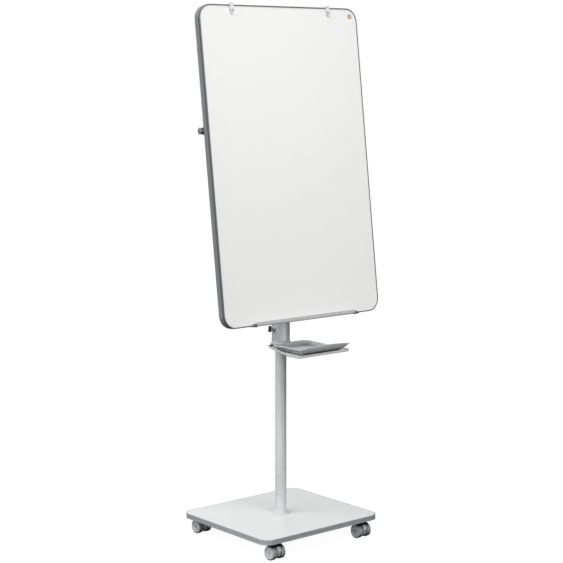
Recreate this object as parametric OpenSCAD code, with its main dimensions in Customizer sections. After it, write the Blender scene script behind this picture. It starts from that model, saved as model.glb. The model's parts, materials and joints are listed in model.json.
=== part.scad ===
// Mobile flipchart easel: a wheeled base, one telescopic column with a height lock,
// an accessory tray, and a tilting whiteboard with paper hooks and a pen ledge.
// Millimetres, +Z up, the floor at z = 0, the column on the Z axis, the board facing -Y.

/* [Base] */
// Width of the base board
base_w = 527; // [460:1:600]
// Depth of the base board
base_d = 475; // [440:1:560]
// Thickness of the base board
base_t = 18; // [15:1:22]
// Height of the base board's top above the floor
base_top = 80; // [78:1:84]
// Corner radius of the base board
base_r = 40; // [20:1:60]

/* [Casters] */
// Distance of a swivel axis from the middle, across
caster_x = 199; // [180:1:205]
// Distance of a swivel axis from the middle, front to back
caster_y = 184; // [160:1:186]
// Distance from the swivel axis back to the axle
caster_trail = 22; // [20:1:24]
// Radius of a caster wheel
wheel_r = 25; // [24:0.5:26]
// Distance between the middles of a caster's two wheels
wheel_gap = 38; // [37:1:40]

/* [Column] */
// Outer radius of the fixed column tube
tube_r = 20; // [18:0.5:22]
// Height of the fixed tube's top end
tube_top = 1050; // [1000:10:1060]
// Outer radius of the sliding sleeve
sleeve_r = 32; // [30:0.5:34]
// Height of the sleeve's lower end
sleeve_low = 690; // [680:5:700]
// Height of the sleeve's upper end
sleeve_top = 1290; // [1280:5:1295]
// Height of the lock knob's spindle
lock_z = 751; // [745:1:765]

/* [Board] */
// Width of the board over its frame
board_w = 704; // [640:4:760]
// Height of the board over its frame
board_h = 1080; // [1000:10:1100]
// Depth of the board's frame
board_t = 30; // [28:1:34]
// Corner radius of the board's frame
board_r = 48; // [40:1:60]
// Lean of the board from upright, in degrees
lean = 7.15; // [6:0.05:10]
// Height of the tilt axis, which crosses the column's own axis
pivot_z = 1448; // [1446:1:1452]
// Distance from the board's lower edge up to the tilt axis, along the board
pivot_up = 664.6; // [650:0.1:680]
// Distance from the board's back to the tilt axis
pivot_gap = 20; // [20:0.5:24]

/* [Hooks and ledge] */
// Distance of a paper hook from the middle
hook_x = 215; // [160:1:250]
// Length of the pen ledge without its end caps
ledge_w = 446; // [300:2:500]
// Depth of the pen ledge in front of the frame
ledge_d = 12; // [10:1:18]
// Height of the pen ledge's front lip
ledge_h = 15; // [14:1:20]

/* [Tray] */
// Width of the tray holder
holder_w = 234; // [224:2:240]
// Distance of the tray's front edge in front of the column
tray_front = 235; // [228:1:236]
// Height of the tray holder's underside
holder_z = 685; // [684:0.5:686]
// Width of the tray pan over its rim
pan_w = 160; // [152:2:164]
// Width of the tray pan's flared front lip
pan_lip_w = 230; // [210:2:232]

/* [Hidden] */
fine = 96;
round_fn = 64;
small_fn = 32;
sides = [-1, 1];
slip = 0.06;
play = 0.3;

band_t = 4;
base_low = base_top - base_t;
foot_plate_r = 60;
foot_plate_t = 4;
foot_ring_r = 37.5;
column_bolt_r = 8;
bolt_clear = 0.5;
plug_h = 45;

tube_wall = 2;
tube_in = tube_r - tube_wall;
sleeve_wall = 2.5;
sleeve_in = sleeve_r - sleeve_wall;
bush_h = 100;
bush_flange = 4;
top_bush_h = 12;
top_bush_plug = 35;
mast_r = 19;
mast_wall = 2.5;
mast_plug = 30;
collar_h = 4;
cross_r = 12.5;
cross_wall = 2;
cross_half = 326;
insert_l = 30;
stud_r = 4;
stud_grip = 4;
stud_start = 6;
ear_t = 3;
ear_x = cross_half + 1;
bracket_w = 34;
bracket_screw_x = 24;
bracket_screw_z = 34;
bracket_screw_r = 2.5;
cap_x = 343;
lock_r = 5;
lock_boss_r = 8;
lock_boss_l = 9;
lock_tip_gap = 0.3;
lock_knob_x = sleeve_r + 14;
lock_knob_l = 9.5;
lock_grip = 5.5;
lock_tail_r = 2.5;

frame_lip = 4.2;
frame_skin = 2;
back_lip = 16;
face_t = 0.8;
face_y = frame_skin;
back_t = 1;
seat = frame_skin + 0.5;
back_y = board_t - frame_skin - back_t;
ledge_t = 1.6;
ledge_floor = -1;
stop_l = 20;
stop_drop = 2;
badge = [17, 15, 1];
badge_x = 319;
badge_up = 1051;

hook_w = 18;
hook_tip_w = 13;
hook_t = 2.2;
hook_front = 31;
hook_shoulder = 12;
hook_back = 24;
hook_tab = [12, 3.5, 5];
peg_r = 3;
peg_l = 12;
peg_drop = 16;

holder_t = 1.5;
holder_rim = 9;
holder_r = 10;
holder_front = -tray_front + 2;
holder_side_y = -170;
holder_neck = [66, -22];
holder_end = [50, 10];
clamp_h = 8;
clamp_r = 36;
arm_x = 27;
arm_w = 8;
arm_front = -46;
arm_back = -28;
arm_screw_r = 1.5;
pan_low = holder_z + holder_t;
pan_rim = 705;
pan_wall = 2;
pan_back = -50;
pan_r = 18;
pan_rim_w = 9;
pan_rim_t = 2.5;
pan_foot = 2;
pan_foot_t = 2;
pan_foot_z = 689;
lip_r = 33.5;
lip_tip_z = 715;
lip_top_z = 721;

housing_w = 15;
hood_r = 28.5;
hood_in = 26.4;
hood_half = 22;
stem_r = 5.5;
boss_r = 9.8;
boss_low = 36;
axle_r = 3;
axle_half = 27.5;
wheel_w = 16.6;
disc_r = 20.5;
plate = 46;
plate_t = 3;
caster_screw = 17;
screw_r = 2;
screw_l = 14;

// Where the board's lower front edge sits, so that the tilt axis lies on the column's axis
board_y = -pivot_up * sin(lean) - (board_t + pivot_gap) * cos(lean);
board_z = pivot_z - pivot_up * cos(lean) + (board_t + pivot_gap) * sin(lean);

CORNERS = [["fl", -1, -1], ["fr", 1, -1], ["bl", -1, 1], ["br", 1, 1]];

// ---- shared shapes ----

// A rectangle with rounded corners, centred on the origin
module round_rect(w, d, r) {
    square([w - 2 * r, d], center = true);
    square([w, d - 2 * r], center = true);
    for (sx = sides, sy = sides)
        translate([sx * (w / 2 - r), sy * (d / 2 - r)])
            circle(r, $fn = fine);
}

// A ring between two rounded rectangles, wall thick, centred on the origin
module round_frame(w, d, r, wall) {
    difference() {
        round_rect(w, d, r);
        round_rect(w - 2 * wall, d - 2 * wall, r - wall);
    }
}

// A cylinder along X from x0 to x1
module rod_x(r, x0, x1, fn = round_fn) {
    translate([x0, 0, 0])
        rotate([0, 90, 0])
            cylinder(h = x1 - x0, r = r, $fn = fn);
}

// A pipe along Z
module pipe(r_out, r_in, h, fn = fine) {
    difference() {
        cylinder(h = h, r = r_out, $fn = fn);
        translate([0, 0, -1])
            cylinder(h = h + 2, r = r_in, $fn = fn);
    }
}

// Puts a shape drawn on the board (x across, y back from the front, z up) where the board is
module on_board() {
    translate([0, board_y, board_z])
        rotate([-lean, 0, 0])
            children();
}

// A board-sized outline in the board's own plane, between two depths
module board_slab(y0, y1) {
    translate([0, y1, board_h / 2])
        rotate([90, 0, 0])
            linear_extrude(height = y1 - y0)
                children();
}

// ---- base ----

module base_board() {
    color("gainsboro")
        translate([0, 0, base_low])
            difference() {
                linear_extrude(height = base_t)
                    round_rect(base_w - 2 * band_t, base_d - 2 * band_t, base_r - band_t);
                translate([0, 0, -1])
                    cylinder(h = base_t + 2, r = column_bolt_r + bolt_clear, $fn = fine);
                at_caster_screws()
                    translate([0, 0, -1])
                        cylinder(h = screw_l - plate_t + 2, r = screw_r + slip, $fn = small_fn);
            }
}

// Puts a shape at each of the sixteen screws that hold the casters' plates
module at_caster_screws() {
    for (c = CORNERS, sx = sides, sy = sides)
        translate([c[1] * caster_x + sx * caster_screw, c[2] * caster_y + sy * caster_screw, 0])
            children();
}

module base_edge_band() {
    color("slategray")
        translate([0, 0, base_low])
            linear_extrude(height = base_t)
                round_frame(base_w, base_d, base_r, band_t);
}

module column_foot_ring() {
    ring = [[tube_r, 0], [foot_ring_r, 0], [foot_ring_r, 0.8], [tube_r + 6, 2.6], [tube_r, 3.2]];
    color("gainsboro")
        translate([0, 0, base_top])
            rotate_extrude($fn = fine)
                polygon(ring);
}

module base_washer_plate() {
    color("dimgray")
        translate([0, 0, base_low - foot_plate_t])
            pipe(foot_plate_r, column_bolt_r + bolt_clear, foot_plate_t);
}

// The column's bolt, and four screws through each caster's plate
module base_fasteners() {
    head_r = 13;
    head_h = 10;
    bolt_end = 5;
    screw_head_r = 4;
    screw_head_h = 1.6;
    bolt_low = base_low - foot_plate_t;
    color("silver") {
        translate([0, 0, bolt_low - head_h])
            cylinder(h = head_h, r = head_r, $fn = 6);
        translate([0, 0, bolt_low])
            cylinder(h = base_top + plug_h - bolt_end - bolt_low, r = column_bolt_r, $fn = fine);
        at_caster_screws() {
            translate([0, 0, base_low - plate_t - screw_head_h])
                cylinder(h = screw_head_h, r = screw_head_r, $fn = small_fn);
            translate([0, 0, base_low - plate_t])
                cylinder(h = screw_l, r = screw_r, $fn = small_fn);
        }
    }
}

module caster_mounts() {
    stem_low = boss_low + 3;
    color("dimgray")
        for (c = CORNERS)
            translate([c[1] * caster_x, c[2] * caster_y, 0]) {
                translate([0, 0, base_low - plate_t])
                    difference() {
                        linear_extrude(height = plate_t)
                            round_rect(plate, plate, 6);
                        for (sx = sides, sy = sides)
                            translate([sx * caster_screw, sy * caster_screw, -1])
                                cylinder(h = plate_t + 2, r = screw_r + play, $fn = small_fn);
                    }
                translate([0, 0, stem_low])
                    cylinder(h = base_low - plate_t - stem_low, r = stem_r, $fn = fine);
            }
}

// ---- column ----

module column_tube() {
    color("silver")
        translate([0, 0, base_top])
            pipe(tube_r, tube_in, tube_top - base_top);
}

module column_plug() {
    color("dimgray")
        translate([0, 0, base_top])
            pipe(tube_in, column_bolt_r, plug_h);
}

module tube_top_bush() {
    color("black") {
        translate([0, 0, tube_top])
            cylinder(h = top_bush_h, r = sleeve_in - slip, $fn = fine);
        translate([0, 0, tube_top - top_bush_plug])
            cylinder(h = top_bush_plug, r = tube_in, $fn = fine);
    }
}

module sleeve_tube() {
    color("darkgray")
        difference() {
            translate([0, 0, sleeve_low])
                pipe(sleeve_r, sleeve_in, sleeve_top - sleeve_low);
            translate([0, 0, lock_z])
                rod_x(lock_boss_r, -sleeve_r - 5, -tube_r);
        }
}

module sleeve_bush() {
    color("black")
        difference() {
            union() {
                translate([0, 0, sleeve_low])
                    cylinder(h = bush_h, r = sleeve_in, $fn = fine);
                translate([0, 0, sleeve_low - bush_flange])
                    cylinder(h = bush_flange, r = sleeve_r, $fn = fine);
            }
            translate([0, 0, sleeve_low - bush_flange - 1])
                cylinder(h = bush_h + bush_flange + 2, r = tube_r + slip, $fn = fine);
            translate([0, 0, lock_z])
                rod_x(lock_boss_r, -sleeve_r - 5, -tube_r - 2);
            translate([0, 0, lock_z])
                rod_x(lock_r + play, -sleeve_r, -tube_r + 5);
        }
}

module lock_boss() {
    color("silver")
        translate([0, 0, lock_z])
            difference() {
                rod_x(lock_boss_r, -sleeve_r - lock_boss_l, -tube_r - 2);
                rod_x(lock_r + slip, -sleeve_r - lock_boss_l - 1, -tube_r);
            }
}

module lock_spindle() {
    color("silver")
        translate([0, 0, lock_z])
            union() {
                rod_x(lock_r, -lock_knob_x, -tube_r - lock_tip_gap);
                rod_x(lock_tail_r, -lock_knob_x - lock_grip, -lock_knob_x + 1);
            }
}

// A flat tapered wing, narrow at the top, with a blind hole for the spindle
module lock_knob() {
    wing_t = 8;
    wing_end = 11;
    wing_narrow = 7;
    color("black")
        translate([0, 0, lock_z])
            difference() {
                translate([-lock_knob_x, wing_t / 2, 0])
                    rotate([90, 0, 0])
                        linear_extrude(height = wing_t)
                            polygon([
                                [0, -wing_end], [-lock_knob_l, -wing_end],
                                [-wing_narrow, wing_end], [0, wing_end]
                            ]);
                rod_x(lock_tail_r, -lock_knob_x - lock_grip, -lock_knob_x + 1);
            }
}

module upper_mast() {
    color("darkgray")
        difference() {
            union() {
                translate([0, 0, sleeve_top - mast_plug])
                    cylinder(h = mast_plug, r = sleeve_in, $fn = fine);
                translate([0, 0, sleeve_top])
                    cylinder(h = collar_h, r = sleeve_r, $fn = fine);
                translate([0, 0, sleeve_top])
                    cylinder(h = pivot_z - sleeve_top, r = mast_r, $fn = fine);
            }
            translate([0, 0, sleeve_top - mast_plug - 1])
                cylinder(h = pivot_z, r = mast_r - mast_wall, $fn = fine);
            translate([0, 0, pivot_z])
                rod_x(cross_r, -sleeve_r, sleeve_r, fine);
        }
}

module cross_tube() {
    color("darkgray")
        translate([0, 0, pivot_z])
            difference() {
                rod_x(cross_r, -cross_half, cross_half, fine);
                rod_x(cross_r - cross_wall, -cross_half - 1, cross_half + 1, fine);
            }
}

module cross_tube_inserts() {
    color("silver")
        translate([0, 0, pivot_z])
            for (m = [0, 1])
                mirror([m, 0, 0])
                    difference() {
                        rod_x(cross_r - cross_wall, cross_half - insert_l, cross_half, fine);
                        rod_x(stud_r + slip, cross_half - insert_l - 1, cross_half + 1);
                    }
}

// ---- accessory tray ----

// Plan of the tray holder: a wide front that narrows to a fork around the column
module holder_plan(inset = 0) {
    side_d = holder_side_y - holder_front;
    half = holder_w / 2 - inset;
    neck_x = holder_neck[0] - inset;
    end_x = holder_end[0] - inset;
    end_y = holder_end[1] - inset;
    translate([0, holder_front + side_d / 2])
        round_rect(holder_w - 2 * inset, side_d - 2 * inset, holder_r - inset);
    polygon([
        [-half, holder_front + holder_r], [half, holder_front + holder_r], [half, holder_side_y],
        [neck_x, holder_neck[1]], [end_x, end_y], [-end_x, end_y], [-neck_x, holder_neck[1]],
        [-half, holder_side_y]
    ]);
}

module tray_holder() {
    color("lightgray")
        difference() {
            translate([0, 0, holder_z])
                linear_extrude(height = holder_rim)
                    holder_plan();
            translate([0, 0, holder_z + holder_t])
                linear_extrude(height = holder_rim)
                    holder_plan(holder_t);
            translate([0, 0, holder_z - 1])
                cylinder(h = holder_rim + 2, r = sleeve_r + play, $fn = fine);
            arm_screw_holes();
        }
}

// A collar on the sleeve, with two arms whose feet carry the tray
module tray_clamp() {
    seat_z = holder_z + holder_t;
    rim_z = holder_z + holder_rim;
    color("gray")
        difference() {
            union() {
                translate([0, 0, rim_z])
                    cylinder(h = clamp_h, r = clamp_r, $fn = fine);
                for (sx = sides) {
                    translate([sx * arm_x - arm_w / 2, arm_front, rim_z])
                        cube([arm_w, arm_back - arm_front, clamp_h / 2]);
                    translate([sx * arm_x - arm_w / 2, arm_front, seat_z])
                        cube([arm_w, arm_back - arm_front, holder_rim - holder_t]);
                }
            }
            translate([0, 0, holder_z])
                cylinder(h = 3 * clamp_h, r = sleeve_r, $fn = fine);
            arm_screw_holes();
        }
}

module arm_screw_holes() {
    for (sx = sides)
        translate([sx * arm_x, arm_front + arm_w / 2, holder_z - 1])
            cylinder(h = holder_rim - 1, r = arm_screw_r + slip, $fn = small_fn);
}

// A U-shaped edge of the pan, seen from above: w wide over all, its back at y = back
module pan_edge(w, back, r, wall) {
    d = 2 * tray_front;
    translate([0, back - d / 2])
        round_frame(w, d, r, wall);
}

// Everything behind the outer face of the pan's curved lip
module behind_lip() {
    translate([-tray_front, -tray_front + lip_r, holder_z])
        cube([2 * tray_front, tray_front, 2 * lip_r]);
    translate([0, -tray_front + lip_r, pan_low + lip_r])
        rod_x(lip_r, -tray_front, tray_front, fine);
}

// The lip seen from the front: flaring upwards, with an arched top
module lip_front(foot_half) {
    tip_half = pan_lip_w / 2;
    rise = lip_top_z - lip_tip_z;
    arch_r = (tip_half * tip_half + rise * rise) / (2 * rise);
    intersection() {
        polygon([
            [-foot_half, pan_low], [foot_half, pan_low], [tip_half, lip_tip_z],
            [tip_half, lip_top_z], [-tip_half, lip_top_z], [-tip_half, lip_tip_z]
        ]);
        translate([0, lip_top_z - arch_r])
            circle(r = arch_r, $fn = 360);
    }
}

// A quarter round from the pan's floor up to its front edge
module pan_lip(foot_half) {
    intersection() {
        difference() {
            translate([0, -tray_front + lip_r, pan_low + lip_r])
                rod_x(lip_r, -pan_lip_w, pan_lip_w, fine);
            translate([0, -tray_front + lip_r, pan_low + lip_r])
                rod_x(lip_r - pan_wall, -pan_lip_w - 1, pan_lip_w + 1, fine);
        }
        translate([0, -tray_front + lip_r, 0])
            rotate([90, 0, 0])
                linear_extrude(height = 2 * lip_r)
                    lip_front(foot_half);
    }
}

module tray_pan() {
    tub_w = pan_w - 2 * pan_rim_w;
    rim_back = pan_back + 3;
    color("gray") {
        intersection() {
            behind_lip();
            union() {
                translate([0, pan_back - tray_front, pan_low])
                    linear_extrude(height = pan_wall)
                        round_rect(tub_w, 2 * tray_front, pan_r);
                translate([0, 0, pan_low])
                    linear_extrude(height = pan_rim - pan_low)
                        pan_edge(tub_w, pan_back, pan_r, pan_wall);
                translate([0, 0, pan_foot_z])
                    linear_extrude(height = pan_foot_t)
                        pan_edge(tub_w + 2 * pan_foot, pan_back + pan_foot, pan_r + pan_foot,
                                 pan_foot + pan_wall);
                translate([0, 0, pan_rim - pan_rim_t])
                    linear_extrude(height = pan_rim_t)
                        pan_edge(pan_w, rim_back, pan_r + pan_rim_w, pan_rim_w + pan_wall);
            }
        }
        pan_lip(tub_w / 2);
    }
}

module tray_screws() {
    head_h = 1.5;
    color("silver")
        for (sx = sides)
            translate([sx * arm_x, arm_front + arm_w / 2, holder_z]) {
                translate([0, 0, -head_h])
                    cylinder(h = head_h, r = 3.5, $fn = small_fn);
                cylinder(h = 6, r = arm_screw_r, $fn = small_fn);
            }
}

// ---- board ----

module board_face() {
    color("white")
        on_board()
            board_slab(face_y, face_y + face_t)
                round_rect(board_w - 2 * seat, board_h - 2 * seat, board_r - seat);
}

module board_core() {
    color("tan")
        on_board()
            board_slab(face_y + face_t, back_y)
                round_rect(board_w - 2 * seat, board_h - 2 * seat, board_r - seat);
}

module board_back() {
    color("lightgray")
        on_board()
            board_slab(back_y, back_y + back_t)
                round_rect(board_w - 2 * seat, board_h - 2 * seat, board_r - seat);
}

module edge_frame() {
    color("slategray")
        on_board() {
            board_slab(0, frame_skin)
                round_frame(board_w, board_h, board_r, frame_lip);
            board_slab(frame_skin, board_t - frame_skin)
                round_frame(board_w, board_h, board_r, seat);
            board_slab(board_t - frame_skin, board_t)
                round_frame(board_w, board_h, board_r, back_lip);
        }
}

// An open trough under the writing face: a floor hung on the frame, and a lip welded to it
module pen_ledge() {
    seam = 0.05;
    lip_back = -ledge_d + ledge_t;
    color("lightgray")
        on_board()
            translate([-ledge_w / 2, 0, ledge_floor]) {
                translate([0, lip_back + seam, 0])
                    cube([ledge_w, -lip_back - seam, ledge_t]);
                translate([0, -ledge_d, 0])
                    cube([ledge_w, ledge_t, ledge_h]);
            }
}

// A moulded stop at each end of the trough, tapering outwards
module ledge_end_caps() {
    stop_h = ledge_h - 3;
    nose_low = 2;
    nose_high = 5;
    shoulder = 8;
    color("dimgray")
        on_board()
            for (m = [0, 1])
                mirror([m, 0, 0])
                    translate([ledge_w / 2, 0, ledge_floor - stop_drop])
                        rotate([90, 0, 0])
                            linear_extrude(height = ledge_d)
                                polygon([
                                    [0, 0], [stop_l, nose_low], [stop_l, nose_high],
                                    [shoulder, stop_h], [0, stop_h]
                                ]);
}

module tilt_brackets() {
    flange_h = 90;
    ear_r = 16;
    color("dimgray")
        on_board()
            for (m = [0, 1])
                mirror([m, 0, 0])
                    translate([ear_x, board_t, pivot_up])
                        difference() {
                            union() {
                                translate([-bracket_w, 0, -flange_h / 2])
                                    cube([bracket_w + ear_t, ear_t, flange_h]);
                                translate([0, 0, -ear_r])
                                    cube([ear_t, pivot_gap, 2 * ear_r]);
                                translate([0, pivot_gap, 0])
                                    rod_x(ear_r, 0, ear_t);
                            }
                            translate([0, pivot_gap, 0])
                                rod_x(stud_r + bolt_clear, -1, ear_t + 1);
                            for (s = sides)
                                translate([-bracket_screw_x, -1, s * bracket_screw_z])
                                    rotate([-90, 0, 0])
                                        cylinder(h = ear_t + 2, r = bracket_screw_r + play, $fn = small_fn);
                        }
}

module bracket_screws() {
    head_r = 5;
    head_h = 2.4;
    color("silver")
        on_board()
            for (m = [0, 1], s = sides)
                mirror([m, 0, 0])
                    translate([ear_x - bracket_screw_x, board_t + ear_t, pivot_up + s * bracket_screw_z])
                        rotate([-90, 0, 0]) {
                            cylinder(h = head_h, r = head_r, $fn = small_fn);
                            translate([0, 0, -ear_t])
                                cylinder(h = ear_t, r = bracket_screw_r, $fn = small_fn);
                        }
}

module badge_plate() {
    color("peru")
        on_board()
            translate([badge_x, face_y - badge[2], badge_up])
                rotate([-90, 0, 0])
                    linear_extrude(height = badge[2])
                        round_rect(badge[0], badge[1], 3);
}

// ---- paper hooks ----

// Outline of a hook's front tongue: wide at the top, narrow below, with a round tip
module hook_tongue() {
    tip_r = hook_tip_w / 2;
    translate([-hook_w / 2, -hook_shoulder])
        square([hook_w, hook_shoulder + play]);
    translate([-tip_r, -hook_front + tip_r])
        square([hook_tip_w, hook_front - tip_r]);
    translate([0, -hook_front + tip_r])
        circle(r = tip_r, $fn = fine);
}

// A clip over the frame's top edge, with a round peg for the paper's holes
module paper_hook(x) {
    color("whitesmoke")
        on_board()
            translate([x, 0, board_h]) {
                translate([-hook_w / 2, -hook_t - play, play])
                    cube([hook_w, board_t + 2 * hook_t + 2 * play, hook_t]);
                translate([0, -play, 0])
                    rotate([90, 0, 0])
                        linear_extrude(height = hook_t)
                            hook_tongue();
                translate([-hook_w / 2, board_t + play, -hook_back])
                    cube([hook_w, hook_t, hook_back + play]);
                translate([-hook_tab[0] / 2, -hook_t - play, play + hook_t])
                    cube(hook_tab);
                translate([0, -play - hook_t, -peg_drop])
                    rotate([90, 0, 0])
                        cylinder(h = peg_l, r = peg_r, $fn = fine);
            }
}

module hook_left() {
    paper_hook(-hook_x);
}

module hook_right() {
    paper_hook(hook_x);
}

// ---- tilt knobs ----

// A thick neck and a cap with six lobes
module tilt_knob() {
    neck_x = ear_x + ear_t + play;
    neck_r = 9.5;
    cap_l = 10;
    lobe_r = 4;
    lobe_ring = 8.5;
    color("dimgray")
        translate([0, 0, pivot_z])
            difference() {
                union() {
                    rod_x(neck_r, neck_x, cap_x + cap_l);
                    for (a = [0 : 60 : 300])
                        rotate([a, 0, 0])
                            translate([0, 0, lobe_ring])
                                rod_x(lobe_r, cap_x, cap_x + cap_l, small_fn);
                }
                rod_x(stud_r, neck_x - 1, cap_x + stud_grip);
            }
}

module tilt_stud() {
    color("silver")
        translate([0, 0, pivot_z])
            rod_x(stud_r, cross_half - insert_l + stud_start, cap_x + stud_grip);
}

module tilt_knob_right() {
    tilt_knob();
}

module tilt_stud_right() {
    tilt_stud();
}

module tilt_knob_left() {
    mirror([1, 0, 0])
        tilt_knob();
}

module tilt_stud_left() {
    mirror([1, 0, 0])
        tilt_stud();
}

// ---- casters ----

// Moves a shape drawn around its axle's middle to corner c, trailing outwards
module at_axle(c) {
    translate([c[1] * caster_x, c[2] * (caster_y + caster_trail), wheel_r])
        children();
}

// The hood over both wheels, the web between them, and the swivel boss
module caster_housing(c) {
    web_r = wheel_r - 3;
    hood_low = 23.5;
    web_low = 5;
    hood_d = 52;
    boss_top = base_low - plate_t - 0.5;
    color("black")
        difference() {
            union() {
                at_axle(c) {
                    rod_x(web_r, -housing_w / 2, housing_w / 2, fine);
                    intersection() {
                        difference() {
                            rod_x(hood_r, -hood_half, hood_half, fine);
                            rod_x(hood_in, -hood_half - 1, hood_half + 1, fine);
                        }
                        translate([-hood_half - 1, -hood_d / 2, hood_low])
                            cube([2 * hood_half + 2, hood_d, hood_r]);
                    }
                    intersection() {
                        rod_x(hood_r - 1, -housing_w / 2, housing_w / 2, fine);
                        translate([-housing_w / 2, -hood_d / 2, web_low])
                            cube([housing_w, hood_d, hood_r]);
                    }
                }
                translate([c[1] * caster_x, c[2] * caster_y, boss_low])
                    cylinder(h = boss_top - boss_low, r = boss_r, $fn = fine);
            }
            at_axle(c)
                rod_x(axle_r, -housing_w, housing_w);
            translate([c[1] * caster_x, c[2] * caster_y, boss_low + 2])
                cylinder(h = base_low, r = stem_r + slip, $fn = fine);
        }
}

module caster_axle(c) {
    color("silver")
        at_axle(c)
            rod_x(axle_r, -axle_half, axle_half);
}

// The moulded centre of one wheel: side -1 is the wheel towards -X
module wheel_disc(c, side) {
    face = wheel_w / 2;
    chamfer = 3;
    dish_r = 12;
    dish = 1.2;
    hub_r = 10;
    hub = 0.6;
    color("silver")
        at_axle(c)
            translate([side * wheel_gap / 2, 0, 0])
                rotate([0, side * 90, 0])
                    rotate_extrude($fn = fine)
                        polygon([
                            [axle_r + slip, -face], [disc_r, -face], [disc_r, face - 1],
                            [disc_r - chamfer, face], [dish_r, face - dish], [hub_r, face + hub],
                            [axle_r + slip, face + hub]
                        ]);
}

module wheel_tyre(c, side) {
    bevel = 2;
    half = wheel_w / 2;
    color("dimgray")
        at_axle(c)
            translate([side * wheel_gap / 2, 0, 0])
                rotate([0, side * 90, 0])
                    rotate_extrude($fn = fine)
                        polygon([
                            [disc_r, -half], [wheel_r - bevel, -half], [wheel_r, -half + bevel],
                            [wheel_r, half - bevel], [wheel_r - bevel, half], [disc_r, half - 1]
                        ]);
}

base_board();
base_edge_band();
column_foot_ring();
base_washer_plate();
base_fasteners();
column_tube();
column_plug();
tube_top_bush();
caster_mounts();
sleeve_tube();
sleeve_bush();
lock_boss();
upper_mast();
cross_tube();
cross_tube_inserts();
tray_clamp();
tray_holder();
tray_pan();
tray_screws();
lock_knob();
lock_spindle();
board_face();
board_core();
board_back();
edge_frame();
pen_ledge();
ledge_end_caps();
tilt_brackets();
bracket_screws();
badge_plate();
hook_left();
hook_right();
tilt_knob_left();
tilt_stud_left();
tilt_knob_right();
tilt_stud_right();
caster_housing(CORNERS[0]);  // caster_fl_housing
caster_axle(CORNERS[0]);  // caster_fl_axle
wheel_disc(CORNERS[0], -1);  // caster_fl_disc_l
wheel_tyre(CORNERS[0], -1);  // caster_fl_tyre_l
wheel_disc(CORNERS[0], 1);  // caster_fl_disc_r
wheel_tyre(CORNERS[0], 1);  // caster_fl_tyre_r
caster_housing(CORNERS[1]);  // caster_fr_housing
caster_axle(CORNERS[1]);  // caster_fr_axle
wheel_disc(CORNERS[1], -1);  // caster_fr_disc_l
wheel_tyre(CORNERS[1], -1);  // caster_fr_tyre_l
wheel_disc(CORNERS[1], 1);  // caster_fr_disc_r
wheel_tyre(CORNERS[1], 1);  // caster_fr_tyre_r
caster_housing(CORNERS[2]);  // caster_bl_housing
caster_axle(CORNERS[2]);  // caster_bl_axle
wheel_disc(CORNERS[2], -1);  // caster_bl_disc_l
wheel_tyre(CORNERS[2], -1);  // caster_bl_tyre_l
wheel_disc(CORNERS[2], 1);  // caster_bl_disc_r
wheel_tyre(CORNERS[2], 1);  // caster_bl_tyre_r
caster_housing(CORNERS[3]);  // caster_br_housing
caster_axle(CORNERS[3]);  // caster_br_axle
wheel_disc(CORNERS[3], -1);  // caster_br_disc_l
wheel_tyre(CORNERS[3], -1);  // caster_br_tyre_l
wheel_disc(CORNERS[3], 1);  // caster_br_disc_r
wheel_tyre(CORNERS[3], 1);  // caster_br_tyre_r
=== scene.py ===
import json
from math import acos, asin, atan2, copysign, cos, dist, pi, radians, sin, sqrt, tan

import bmesh
import bpy
from mathutils import Matrix, Vector


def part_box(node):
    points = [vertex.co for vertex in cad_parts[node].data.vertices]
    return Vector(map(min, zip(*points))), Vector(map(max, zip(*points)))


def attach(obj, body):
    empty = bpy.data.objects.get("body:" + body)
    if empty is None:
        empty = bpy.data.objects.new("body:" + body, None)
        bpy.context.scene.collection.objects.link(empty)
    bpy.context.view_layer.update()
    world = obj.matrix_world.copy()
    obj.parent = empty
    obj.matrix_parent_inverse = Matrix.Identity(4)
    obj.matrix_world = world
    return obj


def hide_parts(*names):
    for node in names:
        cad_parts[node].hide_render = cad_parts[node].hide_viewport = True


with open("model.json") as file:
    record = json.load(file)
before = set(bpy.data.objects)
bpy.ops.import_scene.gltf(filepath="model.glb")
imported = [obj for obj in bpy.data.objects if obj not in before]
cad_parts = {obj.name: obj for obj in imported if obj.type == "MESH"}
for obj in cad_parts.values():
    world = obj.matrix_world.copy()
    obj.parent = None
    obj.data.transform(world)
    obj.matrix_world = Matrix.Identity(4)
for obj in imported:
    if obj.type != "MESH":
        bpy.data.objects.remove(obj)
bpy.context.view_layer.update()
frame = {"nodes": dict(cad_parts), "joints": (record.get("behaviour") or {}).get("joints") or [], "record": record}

MM = 0.001
FULL_TURN = 2 * pi
CORNERS = ("fl", "fr", "bl", "br")

# Turns for shapes drawn about Z. FACE stands a flat outline up, facing the front.
UPRIGHT = Matrix.Identity(4)
DOWN = Matrix.Rotation(pi, 4, "X")
AXIS_X = Matrix(((0, 0, 1, 0), (1, 0, 0, 0), (0, 1, 0, 0), (0, 0, 0, 1)))
AXIS_Y = Matrix(((0, 1, 0, 0), (0, 0, 1, 0), (1, 0, 0, 0), (0, 0, 0, 1)))
MINUS_X = AXIS_X @ DOWN
FACE = Matrix(((1, 0, 0, 0), (0, 0, -1, 0), (0, 1, 0, 0), (0, 0, 0, 1)))


def at(point, turn=UPRIGHT):
    return Matrix.Translation(Vector(point)) @ turn


def mm(*sizes):
    return [size * MM for size in sizes]


def section(inner, outer, low, high):
    """A rectangle's four corners, such as the section of a plain ring."""
    return [(inner, low), (outer, low), (outer, high), (inner, high)]


# ---- camera, light and floor ----

CAMERA_PLACE = (-3.4939, -4.1576, 1.6466)
CAMERA_AZIMUTH = -40.07
CAMERA_DIP = 7.68
CAMERA_LENS = 99.95


def add(name, data):
    thing = bpy.data.objects.new(name, data)
    bpy.context.collection.objects.link(thing)
    return thing


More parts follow.
